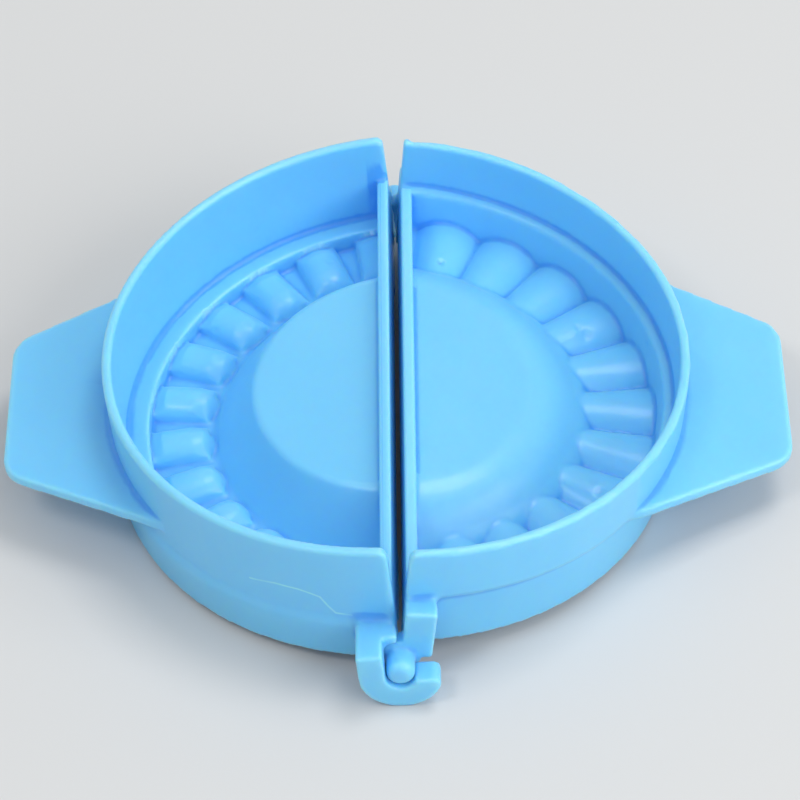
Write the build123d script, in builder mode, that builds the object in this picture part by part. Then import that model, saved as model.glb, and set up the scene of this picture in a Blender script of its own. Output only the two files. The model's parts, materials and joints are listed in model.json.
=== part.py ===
from build123d import *
from math import asin, atan2, cos, degrees, hypot, radians, tan
import os

# A hand press for filled dough: two half-round mouldings that fold on two hinges.
# Each half is drawn flat in its own frame, with the hinge line along Y through the
# origin, the outward side towards +X and heights measured from the hinge line. The
# cutting skirt is on top and the crimping face below. All sizes are in millimetres.

# ---- skirt and walls that both halves share ----
skirt_radius = 44.0          # outside of the round cutting skirt
skirt_wall = 1.5
rim_round = 0.5              # rounding along the cutting rim
rim_corner = 1.5             # rounded corner where the skirt stops at the hinge line
ring_setback = 1.75          # the ring centre lies this far behind the hinge line
half_gap = 0.15              # half the gap between the two straight walls laid flat
straight_wall = 1.7
straight_wall_top = 10.6
web = 1.0                    # wall of the crimping floor, its teeth and the cup

# ---- cup for the filling ----
cup_top = 8.75
cup_foot_round = 1.4
left_cup_shoulder = 1.6      # rounding between the flat top and the side
left_cup_run = 6.7           # level run of the cup's side
left_cup_setback = 2.2       # from the foot of the cup out to the ridges
right_cup_shoulder = 7.5
right_cup_run = 4.8
right_cup_setback = 0.6

# ---- crimping teeth, the same ring on both halves ----
crimp_count = 11             # full teeth on each half
crimp_pitch = 14.7           # degrees
crimp_turn = 5.1             # degrees that the ring of teeth is turned from the middle
crimp_setback = 0.9          # from a ridge's tip out to the left half's step
crimp_length = 6.8           # of a ridge at its tip
crimp_tip_width = 2.3
crimp_tip_corner = 0.9
crimp_depth = 2.4
crimp_flank = 22.0           # degrees from upright
crown_radius = 3.1           # the left half's raised teeth are barrel-shaped on top
crown_rise = 2.75            # height of a raised tooth above the crimping floor
hump_radius = 4.2            # the right half's barrel-shaped humps between its grooves
hump_rise = 2.0              # height of a hump above the crimping floor
hump_hollow_radius = 1.8
hump_hollow_length = 6.4
dough_gap = 0.5              # room between the two crimping faces when folded shut

# ---- left half ----
left_rim_top = 18.4
left_floor_underside = -0.75
left_base = -3.15            # lower edge of the outer wall
left_wall_step = 0.5         # the lower wall stands out this far from the skirt
left_wall = 1.2
left_jog_top = 3.9
shelf_top = 3.15
shelf_thickness = 1.0
shelf_width = 3.4            # from the skirt inwards
left_handle_top = 9.2

# ---- right half ----
right_rim_top = 17.8
ledge_top = 9.4
ledge_thickness = 1.25
ledge_width = 1.5            # from the skirt inwards
right_wall_lean = 0.7        # the drafted wall comes this far in, down to the crimping floor
right_handle_top = 9.4

# ---- clearances between the halves ----
nest_clearance = 0.5         # the right wall inside the left wall when folded shut
stop_clearance = 0.3         # the right wall's lower edge under the left shelf
hinge_side_clearance = 0.4   # beside the lugs
pin_clearance = 0.1
boss_clearance = 0.3

# ---- hinges ----
pin_radius = 2.1
pin_dome = 1.3
pin_end_gap = 0.3            # the pin stops this far inside the hook's face
hook_wall = 3.8
hook_setback = 3.1           # from the left half's wall out to a hook
hook_width = 3.8             # along the hinge line
hook_lip_top = -0.75         # top of the short prong past the pin
hook_lip_round = 1.2
arm_top = 4.7
arm_bottom = 0.4
boss_radius = 3.0
lug_top = 8.9
lug_top_width = 4.7          # from the hinge line outwards
lug_foot_width = 4.5

# ---- handles ----
handle_length = 13.8         # beyond the skirt's radius, from the hinge line
handle_tip_width = 27.4
handle_root_depth = 10.6     # the sides taper from this far inside the skirt's radius
handle_root_width = 53.0
handle_thickness = 1.8
handle_corner = 5.0

# ---- sizes that follow from these ----
flank_run = tan(radians(crimp_flank))        # sideways run of a tooth flank per mm of height
flank_web = web / cos(radians(crimp_flank))  # level thickness of a flank
flank_gap = dough_gap / cos(radians(crimp_flank))
skirt_inner = skirt_radius - skirt_wall
shelf_inner_radius = skirt_inner - shelf_width
ledge_inner_radius = skirt_inner - ledge_width
right_foot_radius = ledge_inner_radius - right_wall_lean
left_wall_radius = skirt_radius + left_wall_step
left_wall_inner = left_wall_radius - left_wall
crimp_outer = shelf_inner_radius - crimp_setback
crimp_inner = crimp_outer - crimp_length
crimp_middle = (crimp_inner + crimp_outer) / 2
left_floor_top = left_floor_underside + web
right_floor_underside = dough_gap - left_floor_underside
right_floor_top = right_floor_underside + web
ridge_tip = right_floor_underside - crimp_depth
ridge_tip_when_shut = -ridge_tip             # in the left half's heights
shelf_underside = shelf_top - shelf_thickness
step_outer_radius = shelf_inner_radius + shelf_thickness
right_wall_radius = left_wall_inner - nest_clearance
right_wall_inner = step_outer_radius + dough_gap
right_base = stop_clearance - shelf_underside
ledge_underside = ledge_top - ledge_thickness
right_wall_middle = (ledge_inner_radius + right_wall_radius) / 2
left_cup_foot_radius = crimp_inner - left_cup_setback
right_cup_foot_radius = crimp_inner - right_cup_setback
cup_mouth_radius = left_cup_foot_radius - 2 * web
tooth_stretch = crimp_setback + web          # a raised tooth runs on into the wall of the step
hook_inner_face = left_wall_radius + hook_setback
hook_outer_face = hook_inner_face + hook_width
pin_end = hook_outer_face - pin_end_gap
handle_reach = skirt_radius + handle_length
handle_root_x = skirt_radius - handle_root_depth
hook_bore = pin_radius + pin_clearance
hook_radius = hook_bore + hook_wall
lug_outer_face = hook_inner_face - hinge_side_clearance
lug_inner_face = left_wall_radius + hinge_side_clearance
lug_slot_top = hinge_side_clearance - left_base
first_tooth = -crimp_pitch * (crimp_count - 1) / 2

ring_section = Plane(origin=(-ring_setback, 0, 0), x_dir=(1, 0, 0), z_dir=(0, -1, 0))
ring_axis = Axis((-ring_setback, 0, 0), (0, 0, 1))
wall_face = Plane(origin=(half_gap, 0, 0), x_dir=(0, 1, 0), z_dir=(1, 0, 0))


def upright(distance):
    """The upright plane across the hinge line, this far along it from the middle."""
    return Plane(origin=(0, distance, 0), x_dir=(1, 0, 0), z_dir=(0, -1, 0))


def cup_and_floor(foot_radius, run, shoulder, floor_top, floor_end_radius):
    """Section of a cup and its crimping floor, one even wall from the middle outwards."""
    with BuildSketch(ring_section) as section:
        with BuildLine():
            skin = FilletPolyline((0, cup_top), (foot_radius - run, cup_top),
                                  (foot_radius, floor_top), (floor_end_radius, floor_top),
                                  radius=(shoulder, cup_foot_round))
            offset(skin, amount=web, side=Side.RIGHT)
        make_face()
    return section.sketch


def tooth_outline(grow, stretch=0.0):
    """Outline of one tooth, grown evenly from the outline of a ridge at its tip."""
    return RectangleRounded(crimp_length + 2 * grow + stretch, crimp_tip_width + 2 * grow,
                            crimp_tip_corner + grow)


def tooth_ring(height, phase, grow):
    """The outlines of all full teeth round the ring, turned by a phase in degrees."""
    with BuildSketch(Plane.XY.offset(height)) as ring:
        with Locations((-ring_setback, 0)):
            with PolarLocations(crimp_middle, crimp_count, first_tooth + phase,
                                crimp_pitch * (crimp_count - 1), endpoint=True):
                tooth_outline(grow)
    return ring.sketch


def rim_corner_cut(rim_top):
    """What is taken off the corner of the skirt where it stops at the hinge line."""
    with BuildSketch(upright(0)) as cut:
        with Locations((half_gap, rim_top)):
            Rectangle(rim_corner, rim_corner, align=(Align.MIN, Align.MAX))
        with Locations((half_gap + rim_corner, rim_top - rim_corner)):
            Circle(rim_corner, mode=Mode.SUBTRACT)
    return cut.sketch


def panel(bottom, top, half_length):
    """Outline of a stretch of the straight wall along the hinge line."""
    with BuildSketch(wall_face) as outline:
        with Locations((0, bottom)):
            Rectangle(2 * half_length, top - bottom, align=(Align.CENTER, Align.MIN))
    return outline.sketch


def handle(top, joint_radius):
    """Outline of a flat tapering grip, up to the round wall that it grows out of."""
    with BuildSketch(Plane.XY.offset(top - handle_thickness)) as outline:
        with BuildLine():
            Polyline((0, -handle_root_width / 2), (handle_root_x, -handle_root_width / 2),
                     (handle_reach, -handle_tip_width / 2), (handle_reach, handle_tip_width / 2),
                     (handle_root_x, handle_root_width / 2), (0, handle_root_width / 2), close=True)
        make_face()
        fillet(outline.vertices().sort_by(Axis.X)[-2:], radius=handle_corner)
        with Locations((-ring_setback, 0)):
            Circle(joint_radius, mode=Mode.SUBTRACT)
    return outline.sketch


def arm(distance):
    """Outline of the arm that carries a hook, hollowed to clear the boss of the lug."""
    with BuildSketch(upright(distance)) as outline:
        with Locations((half_gap, arm_bottom)):
            Rectangle(hook_radius - half_gap, arm_top - arm_bottom, align=(Align.MIN, Align.MIN))
        Circle(boss_radius + boss_clearance, mode=Mode.SUBTRACT)
    return outline.sketch


def hook(distance):
    """Outline of a hook: a round cradle with a tall outer prong and a short inner one."""
    with BuildSketch(upright(distance)) as outline:
        Circle(hook_radius)
        Rectangle(2 * hook_radius, hook_radius, align=(Align.CENTER, Align.MIN), mode=Mode.SUBTRACT)
        with Locations((hook_bore, 0)):
            Rectangle(hook_wall, arm_top, align=(Align.MIN, Align.MIN))
        with Locations((0, hook_lip_top)):
            Rectangle(hook_radius, hook_radius, align=(Align.MAX, Align.MIN), mode=Mode.SUBTRACT)
        Circle(hook_bore, mode=Mode.SUBTRACT)
        fillet(outline.vertices().sort_by(Axis.X)[:1], radius=hook_lip_round)
    return outline.sketch


def lug(distance):
    """Outline of a lug with the boss round its pin."""
    with BuildSketch(upright(distance)) as outline:
        with BuildLine():
            Polyline((half_gap, 0), (lug_foot_width, 0), (lug_top_width, lug_top),
                     (half_gap, lug_top), close=True)
        make_face()
        Circle(boss_radius)
    return outline.sketch


def lug_root(distance):
    """Outline of the block that joins a lug to the wall, above the other half's wall."""
    with BuildSketch(upright(distance)) as outline:
        with Locations((half_gap, lug_slot_top)):
            Rectangle(lug_foot_width - half_gap, lug_top - lug_slot_top,
                      align=(Align.MIN, Align.MIN))
    return outline.sketch


def pin(distance):
    """Outline of a hinge pin."""
    with BuildSketch(upright(distance)) as outline:
        Circle(pin_radius)
    return outline.sketch


def droop(reach, base):
    """Degrees that a half hangs below flat when its hooks and its outer edge stand on a table."""
    return degrees(asin(hook_radius / hypot(reach, base)) - atan2(-base, reach))


def barrel(near, radius, top, bottom):
    """End of a barrel that lies along +X from the ring centre, cut off flat at its bottom."""
    with BuildSketch(Plane.YZ.offset(near)) as end:
        with Locations((0, top - radius)):
            Circle(radius)
        with Locations((0, bottom)):
            Rectangle(2 * radius, 2 * radius, align=(Align.CENTER, Align.MAX), mode=Mode.SUBTRACT)
    return end.sketch


# ---- one raised tooth of the left half, ending inside the wall of the step ----
with BuildPart() as raised_tooth:
    with BuildSketch(Plane.XY.offset(left_floor_top)):
        with Locations((crimp_middle + tooth_stretch / 2, 0)):
            tooth_outline(flank_run * (ridge_tip_when_shut - left_floor_top) + flank_gap + flank_web,
                          tooth_stretch)
    extrude(amount=crown_rise, taper=crimp_flank)
    extrude(barrel(left_cup_foot_radius, crown_radius, left_floor_top + crown_rise, left_floor_top),
            amount=shelf_inner_radius + web / 2 - left_cup_foot_radius, mode=Mode.INTERSECT)

# ---- one hump of the right half, ending inside the wall of the cup and the outer wall ----
cup_side = Plane(origin=(right_cup_foot_radius - web / 2, 0, right_floor_top),
                 z_dir=(cup_top - right_floor_top, 0, right_cup_run))
hump_start = right_cup_foot_radius - right_cup_run
with BuildPart() as raised_hump:
    extrude(barrel(hump_start, hump_radius, right_floor_top + hump_rise,
                   right_floor_underside + web / 2),
            amount=right_foot_radius + web - hump_start)
    split(bisect_by=cup_side, keep=Keep.TOP)
with BuildPart() as hump_hollow:
    extrude(barrel(crimp_middle - hump_hollow_length / 2, hump_hollow_radius,
                   right_floor_underside + hump_hollow_radius, right_floor_underside),
            amount=hump_hollow_length)

# ---- left half: the outer wall, the shelf, raised teeth hollow underneath, and the hooks ----
with BuildPart() as left_half:
    with BuildSketch(ring_section) as left_ring:
        with BuildLine():
            Polyline((left_wall_inner, left_base), (left_wall_radius, left_base),
                     (left_wall_radius, left_jog_top), (skirt_radius, left_jog_top),
                     (skirt_radius, left_rim_top), (skirt_inner, left_rim_top),
                     (skirt_inner, shelf_top), (shelf_inner_radius, shelf_top),
                     (shelf_inner_radius, left_floor_underside),
                     (step_outer_radius, left_floor_underside),
                     (step_outer_radius, shelf_underside), (left_wall_inner, shelf_underside),
                     close=True)
        make_face()
        fillet(left_ring.vertices().sort_by(Axis.Y)[-2:], radius=rim_round)
    revolve(axis=ring_axis)
    revolve(cup_and_floor(left_cup_foot_radius, left_cup_run, left_cup_shoulder, left_floor_top,
                          shelf_inner_radius + web / 2), axis=ring_axis)
    for tooth in range(-1, crimp_count):
        angle = first_tooth + crimp_pitch * tooth + crimp_turn
        with Locations(Location((-ring_setback, 0, 0), (0, 0, angle))):
            add(raised_tooth.part)
    hollow = flank_run * (ridge_tip_when_shut - left_floor_underside) + flank_gap
    extrude(tooth_ring(left_floor_underside, crimp_turn, hollow), amount=crimp_depth,
            taper=crimp_flank, mode=Mode.SUBTRACT)
    split(bisect_by=wall_face, keep=Keep.TOP)
    extrude(rim_corner_cut(left_rim_top), amount=skirt_radius, both=True, mode=Mode.SUBTRACT)
    extrude(panel(shelf_underside, straight_wall_top, skirt_inner), amount=straight_wall)
    extrude(panel(left_floor_underside, shelf_underside, shelf_inner_radius), amount=straight_wall)
    extrude(panel(left_floor_underside, right_floor_underside, cup_mouth_radius),
            amount=straight_wall, mode=Mode.SUBTRACT)
    extrude(handle(left_handle_top, (skirt_inner + skirt_radius) / 2), amount=handle_thickness)
    for side in (-1, 1):
        extrude(arm(side * left_wall_inner), amount=-side * (hook_inner_face - left_wall_inner))
        extrude(hook(side * hook_inner_face), amount=-side * (hook_outer_face - hook_inner_face))

# ---- right half: the nesting wall, the ledge, grooved teeth, and the lugs with their pins ----
with BuildPart() as right_half:
    with BuildSketch(ring_section) as right_ring:
        with BuildLine():
            Polyline((right_wall_inner, right_base), (right_wall_radius, right_base),
                     (right_wall_radius, ledge_underside), (skirt_radius, ledge_underside),
                     (skirt_radius, right_rim_top), (skirt_inner, right_rim_top),
                     (skirt_inner, ledge_top), (ledge_inner_radius, ledge_top),
                     (right_foot_radius, right_floor_top),
                     (right_foot_radius, right_floor_underside),
                     (right_wall_inner, right_floor_underside), close=True)
        make_face()
        fillet(right_ring.vertices().sort_by(Axis.Y)[-2:], radius=rim_round)
    revolve(axis=ring_axis)
    revolve(cup_and_floor(right_cup_foot_radius, right_cup_run, right_cup_shoulder,
                          right_floor_top, right_wall_inner), axis=ring_axis)
    for tooth in range(-1, crimp_count):
        angle = first_tooth + crimp_pitch * (tooth + 0.5) - crimp_turn
        with Locations(Location((-ring_setback, 0, 0), (0, 0, angle))):
            add(raised_hump.part)
            add(hump_hollow.part, mode=Mode.SUBTRACT)
    extrude(tooth_ring(ridge_tip, -crimp_turn, 0), amount=crimp_depth + web / 2, taper=-crimp_flank)
    extrude(tooth_ring(ridge_tip + web, -crimp_turn, flank_run * web - flank_web),
            amount=crimp_depth + hump_rise, taper=-crimp_flank, mode=Mode.SUBTRACT)
    split(bisect_by=wall_face, keep=Keep.TOP)
    extrude(rim_corner_cut(right_rim_top), amount=skirt_radius, both=True, mode=Mode.SUBTRACT)
    extrude(panel(right_floor_underside, straight_wall_top, right_foot_radius), amount=straight_wall)
    extrude(handle(right_handle_top, right_wall_middle), amount=handle_thickness)
    for side in (-1, 1):
        extrude(lug(side * lug_inner_face), amount=-side * (lug_outer_face - lug_inner_face))
        extrude(lug_root(side * right_wall_middle), amount=-side * (lug_outer_face - right_wall_middle))
        extrude(pin(side * lug_outer_face), amount=-side * (pin_end - lug_outer_face))
    fillet(right_half.faces().sort_by(Axis.Y)[0].edges(), radius=pin_dome)
    fillet(right_half.faces().sort_by(Axis.Y)[-1].edges(), radius=pin_dome)

# ---- both halves as they lie open on a table, on their hooks and outer edges ----
left_droop = droop(left_wall_radius - ring_setback, left_base)
right_droop = droop(right_wall_radius - ring_setback, right_base)
hinge_line = Location((0, 0, hook_radius))
left_half.part = left_half.part.moved(
    hinge_line * Location((0, 0, 0), (0, -left_droop, 0)) * Location((0, 0, 0), (0, 0, 180)))
right_half.part = right_half.part.moved(hinge_line * Location((0, 0, 0), (0, right_droop, 0)))

os.makedirs("parts", exist_ok=True)
left_half.part.label = "left_half"
right_half.part.label = "right_half"
export_step(left_half.part, "parts/left_half.step")
export_step(right_half.part, "parts/right_half.step")
print(f"droop {left_droop:.2f} and {right_droop:.2f} degrees, flat after {left_droop + right_droop:.2f}")
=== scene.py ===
import json
import math
from collections import namedtuple

import bmesh
import bpy
import numpy as np
from mathutils import Matrix, Vector


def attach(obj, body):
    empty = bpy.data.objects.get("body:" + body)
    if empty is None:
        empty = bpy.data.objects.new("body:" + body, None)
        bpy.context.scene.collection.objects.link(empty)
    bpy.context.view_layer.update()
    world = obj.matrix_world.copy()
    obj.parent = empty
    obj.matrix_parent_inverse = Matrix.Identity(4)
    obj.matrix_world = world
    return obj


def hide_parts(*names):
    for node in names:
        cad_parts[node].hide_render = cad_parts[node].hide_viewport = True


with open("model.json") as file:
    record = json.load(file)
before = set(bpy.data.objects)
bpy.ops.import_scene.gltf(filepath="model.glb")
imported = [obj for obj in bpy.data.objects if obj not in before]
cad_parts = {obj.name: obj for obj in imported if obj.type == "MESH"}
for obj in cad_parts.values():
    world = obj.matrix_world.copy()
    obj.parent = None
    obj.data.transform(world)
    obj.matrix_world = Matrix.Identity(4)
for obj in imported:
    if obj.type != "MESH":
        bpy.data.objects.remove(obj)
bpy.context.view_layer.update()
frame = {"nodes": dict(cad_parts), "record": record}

bl_info = {
    "name": "Dough press",
    "version": (1, 0, 0),
    "blender": (4, 5, 0),
    "location": "View3D > Sidebar > Press",
    "description": "Two hinged blue mouldings that cut, fill and crimp a round of dough",
    "category": "Object",
}

MM = 0.001
LEFT_HALF = "left_half"
RIGHT_HALF = "right_half"
HINGE_HEIGHT = frame["record"]["behaviour"]["joints"][0]["pos_m"][2]
# X of the centre of each half's rings, just past the hinge line on the flat half.
RING_CENTRE = -1.75 * MM
BODY_OF = {
    node: body
    for body, nodes in frame["record"]["behaviour"]["bodies"].items()
    for node in nodes
}


# ---------------------------------------------------------------- settings


class PressPlasticSettings(bpy.types.PropertyGroup):
    """Colour and finish of the moulded plastic, with the colours of its painted shade and painted
    highlight.
    """

    colour: bpy.props.FloatVectorProperty(
        name="Plastic colour", description="Colour of the moulded plastic, linear",
        subtype="COLOR", size=4, min=0.0, max=1.0, default=(0.20, 0.62, 0.97, 1.0),
    )
    deep_colour: bpy.props.FloatVectorProperty(
        name="Deep colour", description="Colour of the denser clouds in the plastic",
        subtype="COLOR", size=4, min=0.0, max=1.0, default=(0.16, 0.57, 0.96, 1.0),
    )
    # Painted shade: a darker, more saturated blue laid into narrow gaps and corners, where shade
    # falls.
    hollow_colour: bpy.props.FloatVectorProperty(
        name="Hollow shade colour", description="Deeper colour in the narrow gaps and corners",
        subtype="COLOR", size=4, min=0.0, max=1.0, default=(0.05, 0.36, 0.86, 1.0),
    )
    # Pale colour of the scratches and specks, also used as a painted highlight along thin convex
    # edges.
    edge_colour: bpy.props.FloatVectorProperty(
        name="Highlight and scratch colour", description="Paler colour along thin, handled edges",
        subtype="COLOR", size=4, min=0.0, max=1.0, default=(0.34, 0.78, 0.98, 1.0),
    )
    roughness: bpy.props.FloatProperty(
        name="Roughness", description="Roughness of the moulded skin",
        min=0.0, max=1.0, default=0.34,
    )
    grain_size: bpy.props.FloatProperty(
        name="Grain size", description="Size of the fine unevenness of the moulded skin",
        min=0.0001, max=0.01, default=0.0006, unit="LENGTH",
    )
    scratch_length: bpy.props.FloatProperty(
        name="Scratch length", description="Usual length of a handling scratch",
        min=0.001, max=0.05, default=0.009, unit="LENGTH",
    )


class PressTeethSettings(bpy.types.PropertyGroup):
    """Sizes of the rings of rounded teeth, and how far each half hangs from the hinge."""

    count: bpy.props.IntProperty(
        name="Teeth", description="Teeth on each half, cut ones at the hinge line included",
        min=1, max=40, default=12,
    )
    pitch: bpy.props.FloatProperty(
        name="Pitch", description="Angle from one tooth to the next",
        subtype="ANGLE", min=0.0, max=math.pi, default=math.radians(14.7),
    )
    left_start: bpy.props.FloatProperty(
        name="Left start", description="Angle of the left half's first tooth",
        subtype="ANGLE", min=-math.pi, max=math.pi, default=math.radians(-83.1),
    )
    right_start: bpy.props.FloatProperty(
        name="Right start", description="Angle of the right half's first tooth",
        subtype="ANGLE", min=-math.pi, max=math.pi, default=math.radians(-85.95),
    )
    left_width: bpy.props.FloatProperty(
        name="Left width", description="Width of a tooth of the left half",
        min=0.001, max=0.02, default=0.0065, unit="LENGTH",
    )
    left_rise: bpy.props.FloatProperty(
        name="Left rise", description="Height of a tooth of the left half above its floor",
        min=0.0, max=0.01, default=0.0028, unit="LENGTH",
    )
    right_rise: bpy.props.FloatProperty(
        name="Right rise", description="Height of a tooth of the right half above its floor",
        min=0.0, max=0.01, default=0.0020, unit="LENGTH",
    )
    left_droop: bpy.props.FloatProperty(
        name="Left droop", description="How far the left half hangs below flat",
        subtype="ANGLE", min=0.0, max=0.5, default=math.radians(3.832),
    )
    right_droop: bpy.props.FloatProperty(
        name="Right droop", description="How far the right half hangs below flat",
        subtype="ANGLE", min=0.0, max=0.5, default=math.radians(5.816),
    )


class PressShapeSettings(bpy.types.PropertyGroup):
    """Sizes of the softening that takes the hard corners off both mouldings."""

    cell: bpy.props.FloatProperty(
        name="Cell", description="Cell size of the even mesh that is made over each moulding",
        min=0.0001, max=0.002, default=0.00030, unit="LENGTH",
    )
    smoothing: bpy.props.IntProperty(
        name="Smoothing", description="Rounds of smoothing over the even mesh",
        min=0, max=30, default=5,
    )
    triangles: bpy.props.IntProperty(
        name="Triangles", description="Most triangles that each moulding keeps",
        min=10000, max=199000, default=190000,
    )


class PressStageSettings(bpy.types.PropertyGroup):
    """Floor, light of the room and camera."""

    floor_colour: bpy.props.FloatVectorProperty(
        name="Floor colour", description="Colour of the plain floor, linear",
        subtype="COLOR", size=4, min=0.0, max=1.0, default=(0.66, 0.66, 0.65, 1.0),
    )
    room_colour: bpy.props.FloatVectorProperty(
        name="Room colour", description="Colour of the even light from all round, linear",
        subtype="COLOR", size=4, min=0.0, max=1.0, default=(0.93, 0.96, 1.0, 1.0),
    )
    room_light: bpy.props.FloatProperty(
        name="Room light", description="Strength of the even light from all round",
        min=0.0, max=10.0, default=0.54,
    )
    camera_distance: bpy.props.FloatProperty(
        name="Camera distance", description="From the camera to the middle of the press",
        min=0.1, max=3.0, default=0.58053, unit="LENGTH",
    )
    camera_elevation: bpy.props.FloatProperty(
        name="Camera elevation", description="Camera angle above the floor",
        subtype="ANGLE", min=0.0, max=math.pi / 2, default=math.radians(45.32),
    )
    camera_yaw: bpy.props.FloatProperty(
        name="Camera yaw", description="Camera angle round the press",
        subtype="ANGLE", min=-math.pi, max=math.pi, default=math.radians(1.51),
    )
    camera_roll: bpy.props.FloatProperty(
        name="Camera roll", description="Tilt of the camera to one side",
        subtype="ANGLE", min=-math.pi, max=math.pi, default=math.radians(-2.85),
    )
    camera_shift: bpy.props.FloatVectorProperty(
        name="Camera shift", description="How far the camera moves right and up from the middle",
        subtype="TRANSLATION", size=2, default=(0.49 * MM, 7.09 * MM), unit="LENGTH",
    )
    camera_lens: bpy.props.FloatProperty(
        name="Lens", description="Focal length on a 36 mm wide sensor",
        min=10.0, max=400.0, default=172.16,
    )


# ---------------------------------------------------------------- node maths


class Value:
    """A node socket that takes part in ordinary arithmetic."""

    def __init__(self, nodes, socket):
        self.nodes, self.socket = nodes, socket

    def maths(self, operation, *others):
        return self.nodes.node("ShaderNodeMath", {"operation": operation}, self, *others)

    def __add__(self, other):
        return self.maths("ADD", other)

    def __mul__(self, other):
        return self.maths("MULTIPLY", other)

    def __sub__(self, other):
        return self.maths("SUBTRACT", other)

    def __pow__(self, other):
        return self.maths("POWER", other)

    def __rsub__(self, other):
        return self.nodes.node("ShaderNodeMath", {"operation": "SUBTRACT"}, other, self)

    def __rtruediv__(self, other):
        return self.nodes.node("ShaderNodeMath", {"operation": "DIVIDE"}, other, self)

    def band(self, low, high, start=0.0, end=1.0):
        """This value eased from start at low to end at high."""
        return self.nodes.node(
            "ShaderNodeMapRange", {"interpolation_type": "SMOOTHSTEP"},
            self, low, high, start, end,
        )

    def axis(self, name):
        """One part of this vector, X, Y or Z."""
        return self.nodes.node("ShaderNodeSeparateXYZ", None, self, output=name)


class Nodes:
    """The nodes of one tree."""

    def __init__(self, tree):
        self.tree = tree

    def node(self, kind, settings=None, *values, output=None, **named):
        """Adds a node, sets it, feeds its sockets in order or by name and returns one output."""
        node = self.tree.nodes.new(kind)
        for key, value in (settings or {}).items():
            setattr(node, key, value)
        sockets = [s for s in node.inputs if s.enabled]
        feeds = list(zip(sockets, values))
        feeds += [(node.inputs[key.replace("_", " ")], value) for key, value in named.items()]
        for socket, value in feeds:
            if isinstance(value, Value):
                self.tree.links.new(value.socket, socket)
            elif value is not None:
                socket.default_value = value
        if isinstance(output, str):
            return Value(self, node.outputs[output])
        return next((Value(self, socket) for socket in node.outputs if socket.enabled), None)

    def vector(self, x, y, z):
        """A vector from three numbers or values."""
        return self.node("ShaderNodeCombineXYZ", None, x, y, z)


class Finish(Nodes):
    """The nodes of one material."""

    def __init__(self, name):
        self.material = bpy.data.materials.new(name)
        self.material.use_nodes = True
        super().__init__(self.material.node_tree)
        self.tree.nodes.clear()

    def mix(self, factor, first, second):
        """Blends two colours by a factor."""
        return self.node(
            "ShaderNodeMix", {"data_type": "RGBA", "clamp_factor": True}, factor, first, second
        )

    def place(self, stretch=(1.0, 1.0, 1.0), turn=(0.0, 0.0, 0.0), centre=(0.0, 0.0, 0.0)):
        """Object coordinates, moved, turned and stretched."""
        where = self.node("ShaderNodeTexCoord", output="Object")
        return self.node(
            "ShaderNodeMapping", {"vector_type": "TEXTURE"}, where, centre, turn, stretch
        )

    def noise(self, where, size, detail=2.0, roughness=0.5):
        """Noise whose blotches are about this many metres wide."""
        return self.node(
            "ShaderNodeTexNoise", None, Vector=where, Scale=1.0 / size, Detail=detail,
            Roughness=roughness,
        )

    def bump(self, height, depth, strength=1.0, below=None):
        """A relief whose full height is depth metres."""
        return self.node(
            "ShaderNodeBump", None, Strength=strength, Distance=depth, Height=height, Normal=below
        )

    def finish(self, surface):
        """Ends the material with this surface."""
        self.node("ShaderNodeOutputMaterial", None, surface)
        return self.material


# ---------------------------------------------------------------- the plastic


# Widths of the noises' blotches.
CLOUD_SIZE = 32 * MM
FLOW_SIZE = (6 * MM, 40 * MM, 12 * MM)
FLOW_TURN = (0.0, 0.0, 0.4)
SWELL_SIZE = 7 * MM
WORN_PATCH_SIZE = 30 * MM
SCRATCH_PATCH_SIZE = 4 * MM
SPECK_GAP = 8.5 * MM

# Width and direction of each family of handling scratches.
SCRATCHES = ((0.35 * MM, (0.0, 0.15, 0.6)), (0.30 * MM, (0.1, 0.0, -0.9)))
LONG_SCRATCH_WIDTH = 0.25 * MM

# How much of each colour shows.
CLOUD_SHARE, FLOW_SHARE = 0.35, 0.15
# Shares of the painted shade in hollows and of the painted highlight along edges.
HOLLOW_SHADE_SHARE, EDGE_HIGHLIGHT_SHARE = 0.65, 0.2
MARK_SHARE, SPECK_SHARE = 0.08, 0.10

# How far each effect changes the roughness.
CLOUD_ROUGHNESS, GRAIN_ROUGHNESS, MARK_ROUGHNESS = 0.25, 0.03, 0.16

# Full height of each relief.
SWELL_DEPTH = 0.25 * MM
GRAIN_DEPTH = 0.01 * MM

# The path of the left outer wall's long scratch, in mm as the press lies open.
WALL_SCRATCH = (
    (-21.1, -37.9, 13.4), (-17.5, -39.9, 14.3), (-14.2, -41.2, 14.4), (-12.5, -41.8, 14.1),
    (-11.1, -42.2, 13.7), (-10.0, -42.5, 12.0), (-9.0, -42.8, 10.8), (-6.7, -43.2, 10.8),
)


def scratches(graph, length, width, turn, seed):
    """Thin broken strokes along one direction: 1 on a stroke and 0 beside it."""
    centre = (seed, -seed, seed)
    along = graph.place((length, width, width), turn, centre)
    strokes = graph.noise(along, 1.0, detail=1.0, roughness=0.4).band(0.72, 0.76)
    worn = graph.noise(graph.place(centre=centre), WORN_PATCH_SIZE, detail=1.0)
    return strokes * worn.band(0.53, 0.66)


def long_scratch(graph, path, width):
    """One scratch along a path of points in mm: 1 on the scratch and 0 beside it."""

    def vector_maths(operation, *values, **named):
        return graph.node("ShaderNodeVectorMath", {"operation": operation}, *values, **named)

    here = graph.place()
    nearest = None
    for start, end in zip(path, path[1:]):
        run = (Vector(end) - Vector(start)) * MM
        away = vector_maths("SUBTRACT", here, Vector(start) * MM)
        share = vector_maths("DOT_PRODUCT", away, run / run.length_squared)
        share = graph.node("ShaderNodeClamp", None, share, 0.0, 1.0)
        reach = vector_maths("SCALE", Vector=run, Scale=share)
        gap = vector_maths("LENGTH", vector_maths("SUBTRACT", away, reach))
        nearest = gap if nearest is None else nearest.maths("MINIMUM", gap)
    return nearest.band(width, 0.35 * width)


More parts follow.
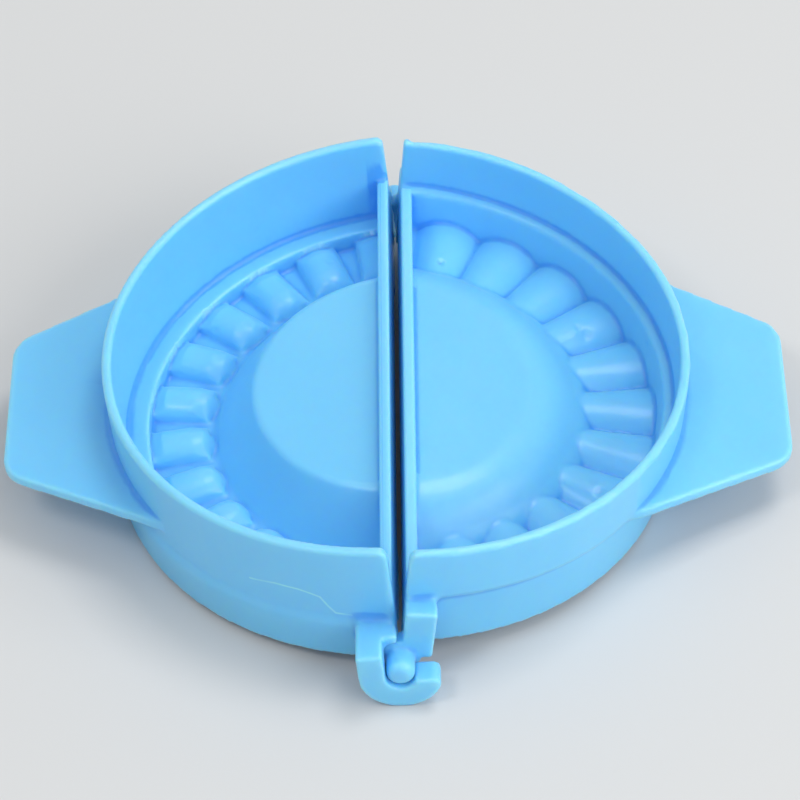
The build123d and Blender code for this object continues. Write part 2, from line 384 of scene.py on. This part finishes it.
def moulded_plastic(name, seed, scratch=()):
    """Glossy, slightly cloudy injection-moulded plastic with signs of the mould and of use, painted
    shade in its hollows and a painted highlight along its edges.
    """
    settings = bpy.context.scene.press_plastic
    graph = Finish(name)
    here = graph.place(centre=(seed, 0.0, 0.0))
    clouds = graph.noise(here, CLOUD_SIZE, detail=2.0, roughness=0.55)
    flow = graph.noise(graph.place(FLOW_SIZE, FLOW_TURN, (seed, 0.0, 0.0)), 1.0, detail=3.0)
    grain = graph.noise(here, settings.grain_size, detail=2.0, roughness=0.6)
    swell = graph.noise(here, SWELL_SIZE, detail=1.0)
    first, second = (
        scratches(graph, settings.scratch_length, width, turn, seed + 0.2 * family)
        for family, (width, turn) in enumerate(SCRATCHES)
    )
    marks = first + second
    specks = graph.node(
        "ShaderNodeTexVoronoi", {"feature": "F1"}, Vector=here, Scale=1.0 / SPECK_GAP,
        output="Distance",
    ).band(0.018, 0.011)

    # The moulding stores 0.5 on a flat face, less along an edge and more in a hollow.
    curve = graph.node("ShaderNodeAttribute", {"attribute_name": "hollow"}, output="Fac")
    # Painted highlight: points that lie on a convex edge.
    edges = curve.band(0.40, 0.20)
    # Painted shade: points that lie deep in a hollow.
    hollow_shade = curve.band(0.54, 0.74)
    cloudy = clouds.band(0.35, 0.65) * CLOUD_SHARE + flow.band(0.3, 0.7) * FLOW_SHARE
    colour = graph.mix(cloudy, tuple(settings.colour), tuple(settings.deep_colour))
    # Painted shade: points deep in a hollow are darkened towards the hollow shade colour.
    colour = graph.mix(hollow_shade * HOLLOW_SHADE_SHARE, colour, tuple(settings.hollow_colour))
    # Painted highlight: convex edges are paled towards the highlight and scratch colour.
    colour = graph.mix(edges * EDGE_HIGHLIGHT_SHARE, colour, tuple(settings.edge_colour))
    pale = marks * MARK_SHARE + specks * SPECK_SHARE
    if scratch:
        line = long_scratch(graph, scratch, LONG_SCRATCH_WIDTH)
        pale = pale + line * graph.noise(here, SCRATCH_PATCH_SIZE).band(0.30, 0.55, 0.35, 0.9)
    colour = graph.mix(pale, colour, tuple(settings.edge_colour))

    # The clouds' noise is about 0.5 on the whole, so half of its share comes off.
    roughness = (
        clouds * CLOUD_ROUGHNESS + (settings.roughness - CLOUD_ROUGHNESS / 2)
        + grain * GRAIN_ROUGHNESS + marks * MARK_ROUGHNESS
    )
    relief = graph.bump(swell, SWELL_DEPTH, 0.55)
    relief = graph.bump(grain, GRAIN_DEPTH, 0.8, relief)
    surface = graph.node(
        "ShaderNodeBsdfPrincipled", {"subsurface_method": "RANDOM_WALK"}, Base_Color=colour,
        Roughness=roughness, Normal=relief, IOR=1.49, Subsurface_Weight=0.85,
        Subsurface_Scale=4 * MM, Subsurface_Radius=(0.9, 0.55, 0.3),
        Coat_Weight=0.10, Coat_Roughness=0.20,
    )
    return graph.finish(surface)


# ---------------------------------------------------------------- the teeth


# What the teeth's nodes ask for. Floor and Bottom are heights above the hinge line, on the flat
# half. Drop is how far a tooth's sides fall from its crest, Cut is how much of its round profile
# shows, Roundness and Squareness are powers that fill out its profile and its ends, and Hollow is
# the depth of the hollow below it.
TOOTH_SIZES = (
    "Pitch", "Start", "Ring Centre", "Inner Radius", "Length", "Inner Width", "Outer Width",
    "Floor", "Rise", "Drop", "Cut", "Roundness", "Squareness", "Bottom", "Hollow",
)
TOOTH_STEPS = (33, 41, 2)
# Powers that shape the hollow below a tooth: the higher, the fuller.
HOLLOW_FULLNESS_ACROSS, HOLLOW_FULLNESS_ALONG = 4.0, 8.0
THINNEST_TOOTH = 0.05 * MM


def teeth_tree():
    """Nodes that shape one rounded tooth by rule and set it round a cup as often as asked."""
    group = bpy.data.node_groups.new("ring of teeth", "GeometryNodeTree")
    group.interface.new_socket("Teeth", in_out="OUTPUT", socket_type="NodeSocketGeometry")
    group.interface.new_socket("Count", in_out="INPUT", socket_type="NodeSocketInt")
    group.interface.new_socket("Plastic", in_out="INPUT", socket_type="NodeSocketMaterial")
    for name in TOOTH_SIZES:
        group.interface.new_socket(name, in_out="INPUT", socket_type="NodeSocketFloat")
    build = Nodes(group)
    given = group.nodes.new("NodeGroupInput")
    asked = {socket.name: Value(build, socket) for socket in given.outputs if socket.name}

    # A block from -1 to 1, whose rows are drawn together towards its sides.
    block = build.node("GeometryNodeMeshCube", None, (2.0, 2.0, 2.0), *TOOTH_STEPS)
    corner = build.node("GeometryNodeInputPosition")
    along = (corner.axis("X") * (math.pi / 2)).maths("SINE")
    across = (corner.axis("Y") * (math.pi / 2)).maths("SINE")
    layer = corner.axis("Z") * 0.5 + 0.5

    def falloff(way, power):
        """1 in the middle, easing down to 0 at the sides; the higher the power, the squarer."""
        left = (1.0 - way.maths("ABSOLUTE") ** power).maths("MAXIMUM", 0.0)
        return left ** (1.0 / power)

    crown = falloff(across * asked["Cut"], asked["Roundness"])
    ends = falloff(along, asked["Squareness"])
    top = asked["Floor"] + asked["Rise"] - asked["Drop"] * (1.0 - crown * ends)
    roof = 1.0 - across.maths("ABSOLUTE") ** HOLLOW_FULLNESS_ACROSS
    roof = roof * (1.0 - along.maths("ABSOLUTE") ** HOLLOW_FULLNESS_ALONG)
    under = asked["Bottom"] + asked["Hollow"] * roof
    height = under + layer * (top - under).maths("MAXIMUM", THINNEST_TOOTH)

    far = along * 0.5 + 0.5
    width = asked["Inner Width"] + (asked["Outer Width"] - asked["Inner Width"]) * far
    spot = build.vector(asked["Inner Radius"] + asked["Length"] * far, across * width * 0.5, height)
    tooth = build.node("GeometryNodeSetPosition", None, Geometry=block, Position=spot)

    ring = build.node(
        "GeometryNodeMeshLine", None, Count=asked["Count"], Offset=(0.0, 0.0, 0.0),
        Start_Location=build.vector(asked["Ring Centre"], 0.0, 0.0),
    )
    turn = asked["Start"] + asked["Pitch"] * build.node("GeometryNodeInputIndex")
    turn = build.node("FunctionNodeEulerToRotation", None, build.vector(0.0, 0.0, turn))
    teeth = build.node(
        "GeometryNodeInstanceOnPoints", None, Points=ring, Instance=tooth, Rotation=turn
    )
    teeth = build.node("GeometryNodeRealizeInstances", None, teeth)
    teeth = build.node("GeometryNodeSetMaterial", None, Geometry=teeth, Material=asked["Plastic"])
    build.node("NodeGroupOutput", None, teeth)
    return group


def ring_of_teeth(name, values):
    """The plain mesh that the teeth's nodes make from these values."""
    host = bpy.data.objects.new(name, bpy.data.meshes.new(name))
    bpy.context.scene.collection.objects.link(host)
    modifier = host.modifiers.new(name, "NODES")
    modifier.node_group = bpy.data.node_groups.get("ring of teeth") or teeth_tree()
    for socket in modifier.node_group.interface.items_tree:
        if socket.in_out == "INPUT":
            modifier[socket.identifier] = values[socket.name]
    depsgraph = bpy.context.evaluated_depsgraph_get()
    mesh = bpy.data.meshes.new_from_object(host.evaluated_get(depsgraph), depsgraph=depsgraph)
    bpy.data.objects.remove(host)
    return mesh


def left_teeth(plastic):
    """The left half's raised teeth, plump bars with a gap between them."""
    settings = bpy.context.scene.press_teeth
    return ring_of_teeth("left teeth", {
        "Count": settings.count, "Plastic": plastic, "Pitch": settings.pitch,
        "Start": settings.left_start, "Ring Centre": RING_CENTRE,
        "Inner Radius": 30.3 * MM, "Length": 9.3 * MM,
        "Inner Width": settings.left_width, "Outer Width": settings.left_width + 0.4 * MM,
        "Floor": 0.25 * MM, "Rise": settings.left_rise, "Drop": settings.left_rise,
        "Cut": 1.0, "Roundness": 2.0, "Squareness": 5.0,
        "Bottom": -0.05 * MM, "Hollow": 2.2 * MM,
    })


def right_teeth(plastic):
    """The right half's teeth, wide barrels that meet in sharp valleys."""
    settings = bpy.context.scene.press_teeth
    near, far = 29.1 * MM, 41.5 * MM
    overlap = 1.01
    spread = 2 * overlap * math.tan(settings.pitch / 2)
    return ring_of_teeth("right teeth", {
        "Count": settings.count, "Plastic": plastic, "Pitch": settings.pitch,
        "Start": settings.right_start, "Ring Centre": RING_CENTRE,
        "Inner Radius": near, "Length": far - near,
        "Inner Width": near * spread, "Outer Width": far * spread,
        "Floor": 2.25 * MM, "Rise": settings.right_rise, "Drop": 4.4 * MM,
        "Cut": 0.9, "Roundness": 2.0, "Squareness": 20.0,
        "Bottom": 1.6 * MM, "Hollow": 1.9 * MM,
    })


def half_place(droop, turn):
    """Where a half lies open: turned about the hinge line and lifted to its height."""
    return (
        Matrix.Translation((0.0, 0.0, HINGE_HEIGHT))
        @ Matrix.Rotation(droop, 4, "Y")
        @ Matrix.Rotation(turn, 4, "Z")
    )


def left_place():
    """Where the left half lies open."""
    return half_place(-bpy.context.scene.press_teeth.left_droop, math.pi)


def right_place():
    """Where the right half lies open."""
    return half_place(bpy.context.scene.press_teeth.right_droop, 0.0)


# X of a place inside both straight walls, on the flat half.
IN_STRAIGHT_WALL = 0.6 * MM


def place_on_half(teeth, place):
    """Ends the teeth in the straight wall and moves them to where their half lies open."""
    for corner in teeth.vertices:
        corner.co.x = max(corner.co.x, IN_STRAIGHT_WALL)
    teeth.transform(place)


# ---------------------------------------------------------------- the mouldings


# A hard line to ease, that runs round the flat half: where it lies, how far its easing reaches
# outwards and upwards, all in mm, and the rounds of smoothing.
Band = namedtuple("Band", "radius height reach rise rounds")
LEFT_BANDS = (
    Band(radius=44.25, height=3.9, reach=1.6, rise=2.2, rounds=40),
    Band(radius=31.0, height=2.6, reach=1.8, rise=1.6, rounds=80),
)
RIGHT_BANDS = (
    Band(radius=43.4, height=8.15, reach=1.4, rise=1.8, rounds=40),
    Band(radius=41.0, height=9.4, reach=1.2, rise=1.2, rounds=30),
)
BAND_STEPS = 8
BAND_SMOOTHING = 0.7
CORNER_SMOOTHING = 0.5

# A small shallow dent: its middle as the press lies open, its radius and its depth, in mm.
Dent = namedtuple("Dent", "middle radius depth")
LEFT_DENTS = (
    Dent((-10.2, 32.6, 8.2), 1.0, 0.15), Dent((-28.1, 20.5, 6.0), 0.8, 0.12),
)
RIGHT_DENTS = (
    Dent((7.1, 30.5, 9.5), 0.9, 0.35), Dent((28.9, 16.0, 6.8), 1.6, 0.30),
    Dent((30.2, 15.0, 6.6), 0.9, 0.30), Dent((27.8, 17.2, 7.2), 0.8, 0.20),
    Dent((38.1, 11.1, 9.7), 0.7, 0.30), Dent((29.7, -17.3, 7.1), 1.2, 0.25),
    Dent((31.2, -18.1, 7.0), 0.7, 0.25),
)

# Points of the solid's mesh that lie closer than this are one point.
SAME_POINT = 0.001 * MM


def merged_copy(node, name, teeth):
    """A new object with a CAD node's shape, its loose triangles joined, and its teeth."""
    shape = bmesh.new()
    shape.from_mesh(frame["nodes"][node].data)
    bmesh.ops.remove_doubles(shape, verts=shape.verts, dist=SAME_POINT)
    shape.from_mesh(teeth)
    mesh = bpy.data.meshes.new(name)
    shape.to_mesh(mesh)
    shape.free()
    piece = bpy.data.objects.new(name, mesh)
    bpy.context.scene.collection.objects.link(piece)
    return piece


def apply_modifiers(piece):
    """Turns a piece's modifiers into its mesh."""
    depsgraph = bpy.context.evaluated_depsgraph_get()
    mesh = bpy.data.meshes.new_from_object(piece.evaluated_get(depsgraph), depsgraph=depsgraph)
    piece.modifiers.clear()
    old = piece.data
    piece.data = mesh
    bpy.data.meshes.remove(old)
    mesh.name = piece.name


def numbers(items, name, width, kind=np.float64):
    """One property of many mesh items as rows of numbers."""
    values = np.empty(len(items) * width, dtype=kind)
    items.foreach_get(name, values)
    return values.reshape(-1, width)


def on_half(piece, place):
    """Each point of a piece as it lies on the flat half, in mm, and its ring radius."""
    turned = np.array(place.inverted())
    spots = (numbers(piece.data.vertices, "co", 3) @ turned[:3, :3].T + turned[:3, 3]) / MM
    return spots, np.hypot(spots[:, 0] - RING_CENTRE / MM, spots[:, 1])


def put_back(piece, place, spots):
    """Gives a piece the points that on_half gave, once they have been moved."""
    turned = np.array(place)
    piece.data.vertices.foreach_set("co", (spots * MM @ turned[:3, :3].T + turned[:3, 3]).ravel())
    piece.data.update()


def ramp(values, start, length):
    """How far values have come on a way that begins at start: 0 before it and 1 past its end."""
    return np.clip((values - start) / length, 0.0, 1.0)


def slope_ends(piece, place, start=37.2, wall=39.1, depth=0.8, low=1.2, high=3.0, spare=0.4):
    """Slopes the tops of the left teeth down to the shelf's wall; all sizes in mm."""
    spots, ring = on_half(piece, place)
    height = spots[:, 2]
    share = ramp(ring, start, wall - start)
    share *= (ring < wall) & (height < high + spare)
    top = ramp(height, low, high - low)
    spots[:, 2] -= depth * share * top * top * (3.0 - 2.0 * top)
    put_back(piece, place, spots)


def lean_cup(piece, place, low=3.0, high=8.75, foot=30.5, foot_fade=1.5, wall=1.9, wall_fade=3.0,
             share=0.08):
    """Draws the top of the right cup in by a share of its radius; all sizes in mm."""
    spots, ring = on_half(piece, place)
    draw = share * ramp(spots[:, 2], low, high - low) * ramp(foot - ring, 0.0, foot_fade)
    past_wall = ramp(spots[:, 0], wall, wall_fade)
    spots[:, 0] -= draw * past_wall * (spots[:, 0] - RING_CENTRE / MM)
    spots[:, 1] -= draw * spots[:, 1]
    put_back(piece, place, spots)


def round_off(piece, place, bands):
    """Eases the hard lines that run round a half, in full out to half of each band's reach."""
    spots, ring = on_half(piece, place)
    for band in bands:
        away = np.hypot((ring - band.radius) / band.reach, (spots[:, 2] - band.height) / band.rise)
        weight = np.round(np.clip(2.0 - 2.0 * away, 0.0, 1.0) * BAND_STEPS)
        group = piece.vertex_groups.new(name=f"band at {band.radius}")
        for step in range(1, BAND_STEPS + 1):
            group.add(np.flatnonzero(weight == step).tolist(), step / BAND_STEPS, "REPLACE")
        smooth = piece.modifiers.new(group.name, "SMOOTH")
        smooth.vertex_group = group.name
        smooth.factor = BAND_SMOOTHING
        smooth.iterations = band.rounds
    apply_modifiers(piece)
    piece.vertex_groups.clear()


def soften(piece, place, bands, reshape):
    """Remeshes a moulding evenly, rounds its corners as a mould does, reshapes and thins it."""
    settings = bpy.context.scene.press_shape
    remesh = piece.modifiers.new("even mesh", "REMESH")
    remesh.mode = "VOXEL"
    remesh.voxel_size = settings.cell
    smooth = piece.modifiers.new("small radii", "SMOOTH")
    smooth.factor = CORNER_SMOOTHING
    smooth.iterations = settings.smoothing
    apply_modifiers(piece)
    reshape(piece, place)
    round_off(piece, place, bands)
    count = sum(len(face.vertices) - 2 for face in piece.data.polygons)
    if count > settings.triangles:
        thin = piece.modifiers.new("fewer faces", "DECIMATE")
        thin.ratio = settings.triangles / count
        apply_modifiers(piece)
    piece.data.shade_smooth()


def dent(piece, dents):
    """Presses small shallow dents into a moulding."""
    spots = numbers(piece.data.vertices, "co", 3)
    normals = numbers(piece.data.vertices, "normal", 3)
    for middle, radius, depth in dents:
        away = np.linalg.norm(spots - np.array(middle) * MM, axis=1) / (radius * MM)
        press = np.clip(1.0 - away ** 2, 0.0, 1.0) ** 2 * depth * MM
        spots = spots - normals * press[:, None]
    piece.data.vertices.foreach_set("co", spots.ravel())
    piece.data.update()


def mark_hollows(piece, rounds=24):
    """Stores how deep each point lies in a hollow: over 0.5 in a hollow, under it on an edge."""
    mesh = piece.data
    spots = numbers(mesh.vertices, "co", 3)
    normals = numbers(mesh.vertices, "normal", 3)
    first, second = numbers(mesh.edges, "vertices", 2, np.int64).T
    count = len(spots)
    neighbours = np.maximum(np.bincount(first, minlength=count)
                            + np.bincount(second, minlength=count), 1)
    smooth = spots
    for _ in range(rounds):
        smooth = np.stack([
            (np.bincount(first, column[second], count) + np.bincount(second, column[first], count))
            / neighbours for column in smooth.T
        ], axis=1)
    depth = ((smooth - spots) * normals).sum(axis=1) / MM
    hollow = mesh.attributes.new("hollow", "FLOAT", "POINT")
    hollow.data.foreach_set("value", np.clip(0.5 + 0.5 * depth, 0.0, 1.0).astype(np.float32))


def moulding(node, plastic, teeth, place, bands, dents, reshape):
    """Makes one half's visible moulding and sets it on its body."""
    place_on_half(teeth, place)
    piece = merged_copy(node, node.replace("_half", "_moulding"), teeth)
    soften(piece, place, bands, reshape)
    dent(piece, dents)
    mark_hollows(piece)
    piece.data.materials.clear()
    piece.data.materials.append(plastic)
    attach(piece, BODY_OF[node])
    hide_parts(node)


class PRESS_OT_left_moulding(bpy.types.Operator):
    """Makes the left half, with the hooks"""

    bl_idname = "press.left_moulding"
    bl_label = "Left moulding"

    def execute(self, context):
        plastic = moulded_plastic("left plastic", 0.3, WALL_SCRATCH)
        moulding(
            LEFT_HALF, plastic, left_teeth(plastic), left_place(),
            LEFT_BANDS, LEFT_DENTS, slope_ends,
        )
        return {"FINISHED"}


class PRESS_OT_right_moulding(bpy.types.Operator):
    """Makes the right half, with the lugs and pins"""

    bl_idname = "press.right_moulding"
    bl_label = "Right moulding"

    def execute(self, context):
        plastic = moulded_plastic("right plastic", 0.9)
        moulding(
            RIGHT_HALF, plastic, right_teeth(plastic), right_place(),
            RIGHT_BANDS, RIGHT_DENTS, lean_cup,
        )
        return {"FINISHED"}


# ---------------------------------------------------------------- the stage


FLOOR_HALF = 3.0
PAPER_TOOTH_SIZE = 1.2 * MM
PAPER_TOOTH_DEPTH = 0.03 * MM
SENSOR_WIDTH = 36.0

# Name, place and size in metres, and power in watts.
LAMPS = (
    ("light above", (0.36, 0.22, 1.12), (0.50, 0.45), 4.2),
    ("light on the left", (-0.45, -0.37, 1.00), (0.28, 0.28), 1.8),
    ("window on the right", (0.85, -0.55, 0.60), (1.10, 0.70), 7.2),
)


def floor_finish():
    """Plain pale paper with a faint tooth."""
    settings = bpy.context.scene.press_stage
    graph = Finish("pale floor")
    tooth = graph.noise(graph.place(), PAPER_TOOTH_SIZE)
    relief = graph.bump(tooth, PAPER_TOOTH_DEPTH, 0.3)
    paper = graph.node(
        "ShaderNodeBsdfPrincipled", None, Base_Color=tuple(settings.floor_colour),
        Roughness=0.85, Normal=relief,
    )
    return graph.finish(paper)


def lamp(name, place, size, power):
    """A soft white lamp that looks at the press."""
    data = bpy.data.lights.new(name, "AREA")
    data.shape = "RECTANGLE"
    data.size, data.size_y = size
    data.energy = power
    lamp_object = bpy.data.objects.new(name, data)
    lamp_object.location = place
    lamp_object.rotation_euler = (-Vector(place)).to_track_quat("-Z", "Y").to_euler()
    bpy.context.scene.collection.objects.link(lamp_object)


class PRESS_OT_stage(bpy.types.Operator):
    """Makes the floor, the lamps and the camera"""

    bl_idname = "press.stage"
    bl_label = "Stage"

    def execute(self, context):
        settings = context.scene.press_stage
        mesh = bpy.data.meshes.new("floor")
        corners = [(x * FLOOR_HALF, y * FLOOR_HALF, 0.0)
                   for x, y in ((-1, -1), (1, -1), (1, 1), (-1, 1))]
        mesh.from_pydata(corners, [], [(0, 1, 2, 3)])
        floor = bpy.data.objects.new("floor", mesh)
        floor.data.materials.append(floor_finish())
        context.scene.collection.objects.link(floor)

        for values in LAMPS:
            lamp(*values)

        world = bpy.data.worlds.new("room light")
        world.use_nodes = True
        background = world.node_tree.nodes["Background"]
        background.inputs["Color"].default_value = settings.room_colour
        background.inputs["Strength"].default_value = settings.room_light
        context.scene.world = world

        data = bpy.data.cameras.new("camera")
        data.lens = settings.camera_lens
        data.sensor_width = SENSOR_WIDTH
        data.clip_start = 0.01
        camera = bpy.data.objects.new("camera", data)
        camera.matrix_world = (
            Matrix.Rotation(settings.camera_yaw, 4, "Z")
            @ Matrix.Rotation(math.pi / 2 - settings.camera_elevation, 4, "X")
            @ Matrix.Translation((*settings.camera_shift, settings.camera_distance))
            @ Matrix.Rotation(settings.camera_roll, 4, "Z")
        )
        context.scene.collection.objects.link(camera)
        context.scene.camera = camera
        context.scene.view_settings.view_transform = "Standard"
        return {"FINISHED"}


class PRESS_PT_panel(bpy.types.Panel):
    """Lists the parts of the press"""

    bl_idname = "PRESS_PT_panel"
    bl_label = "Dough press"
    bl_space_type = "VIEW_3D"
    bl_region_type = "UI"
    bl_category = "Press"

    def draw(self, context):
        for operator in OPERATORS:
            self.layout.operator(operator.bl_idname)
        for name in GROUPS:
            settings = getattr(context.scene, name)
            for key in settings.__annotations__:
                self.layout.prop(settings, key)


OPERATORS = (PRESS_OT_left_moulding, PRESS_OT_right_moulding, PRESS_OT_stage)
GROUPS = {
    "press_plastic": PressPlasticSettings,
    "press_teeth": PressTeethSettings,
    "press_shape": PressShapeSettings,
    "press_stage": PressStageSettings,
}


def register():
    for kind in (*GROUPS.values(), *OPERATORS, PRESS_PT_panel):
        bpy.utils.register_class(kind)
    for name, group in GROUPS.items():
        setattr(bpy.types.Scene, name, bpy.props.PointerProperty(type=group))


def unregister():
    for name in GROUPS:
        delattr(bpy.types.Scene, name)
    for kind in reversed((*GROUPS.values(), *OPERATORS, PRESS_PT_panel)):
        bpy.utils.unregister_class(kind)


def main():
    register()
    bpy.ops.press.left_moulding()
    bpy.ops.press.right_moulding()
    bpy.ops.press.stage()


if __name__ == "__main__":
    main()
